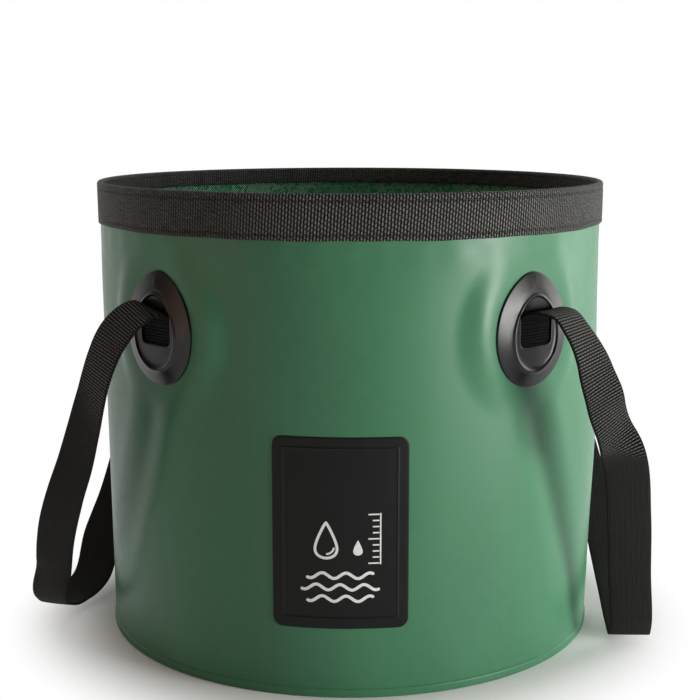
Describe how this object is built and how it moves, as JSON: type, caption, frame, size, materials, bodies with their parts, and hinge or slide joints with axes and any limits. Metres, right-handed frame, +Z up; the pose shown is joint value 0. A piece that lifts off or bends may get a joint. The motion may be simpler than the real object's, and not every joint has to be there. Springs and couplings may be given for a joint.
{
  "type": "folding water bucket",
  "caption": "Soft-sided round folding water bag of coated cloth with a webbing-bound rim, moulded oval strap anchors, swinging webbing handles and a collapsing base.",
  "frame": {"origin": "centre of the base's underside, on the surface the bag stands on", "axes": "+Z up along the bag's axis; -Y towards the label; +X towards the handle on the label's right as seen from the front"},
  "size_m": [0.3809, 0.3114, 0.2752],
  "materials": {
    "coated_cloth": "green coated woven cloth, semi-gloss, with its scrim faintly showing",
    "rim_webbing": "black ribbed binding tape, matt, two stitched rows",
    "handle_webbing": "black woven webbing, cross-ribbed, slight sheen",
    "anchor_sheet": "thin black welded sheet, satin",
    "anchor_moulding": "black soft moulding, semi-gloss",
    "label_film": "black welded film with a pressed line inside its edge, satin"
  },
  "bodies": {
    "bag": {"wall_panel": "coated_cloth", "rim_binding": "rim_webbing", "label_patch": "label_film", "anchor_backing_front_right": "anchor_sheet", "anchor_backing_front_left": "anchor_sheet", "anchor_backing_back_right": "anchor_sheet", "anchor_backing_back_left": "anchor_sheet", "anchor_cover_front_right": "anchor_moulding", "anchor_cover_front_left": "anchor_moulding", "anchor_cover_back_right": "anchor_moulding", "anchor_cover_back_left": "anchor_moulding", "strap_end_front_right": "handle_webbing", "strap_end_front_left": "handle_webbing", "strap_end_back_right": "handle_webbing", "strap_end_back_left": "handle_webbing"},
    "base": {"base_panel": "coated_cloth"},
    "right_handle": {"handle_right": "handle_webbing"},
    "left_handle": {"handle_left": "handle_webbing"}
  },
  "joints": [
    {"name": "right_handle_swing", "type": "hinge", "parent": "bag", "child": "right_handle", "pos_m": [0.12164, 0, 0.21395], "axis": [0, -1, 0], "range_deg": [0, 160]},
    {"name": "left_handle_swing", "type": "hinge", "parent": "bag", "child": "left_handle", "pos_m": [-0.12164, 0, 0.21395], "axis": [0, 1, 0], "range_deg": [0, 160]},
    {"name": "base_collapse", "type": "slide", "parent": "bag", "child": "base", "axis": [0, 0, 1], "range_m": [0, 0.15], "deforming": ["wall_panel", "label_patch"]}
  ]
}
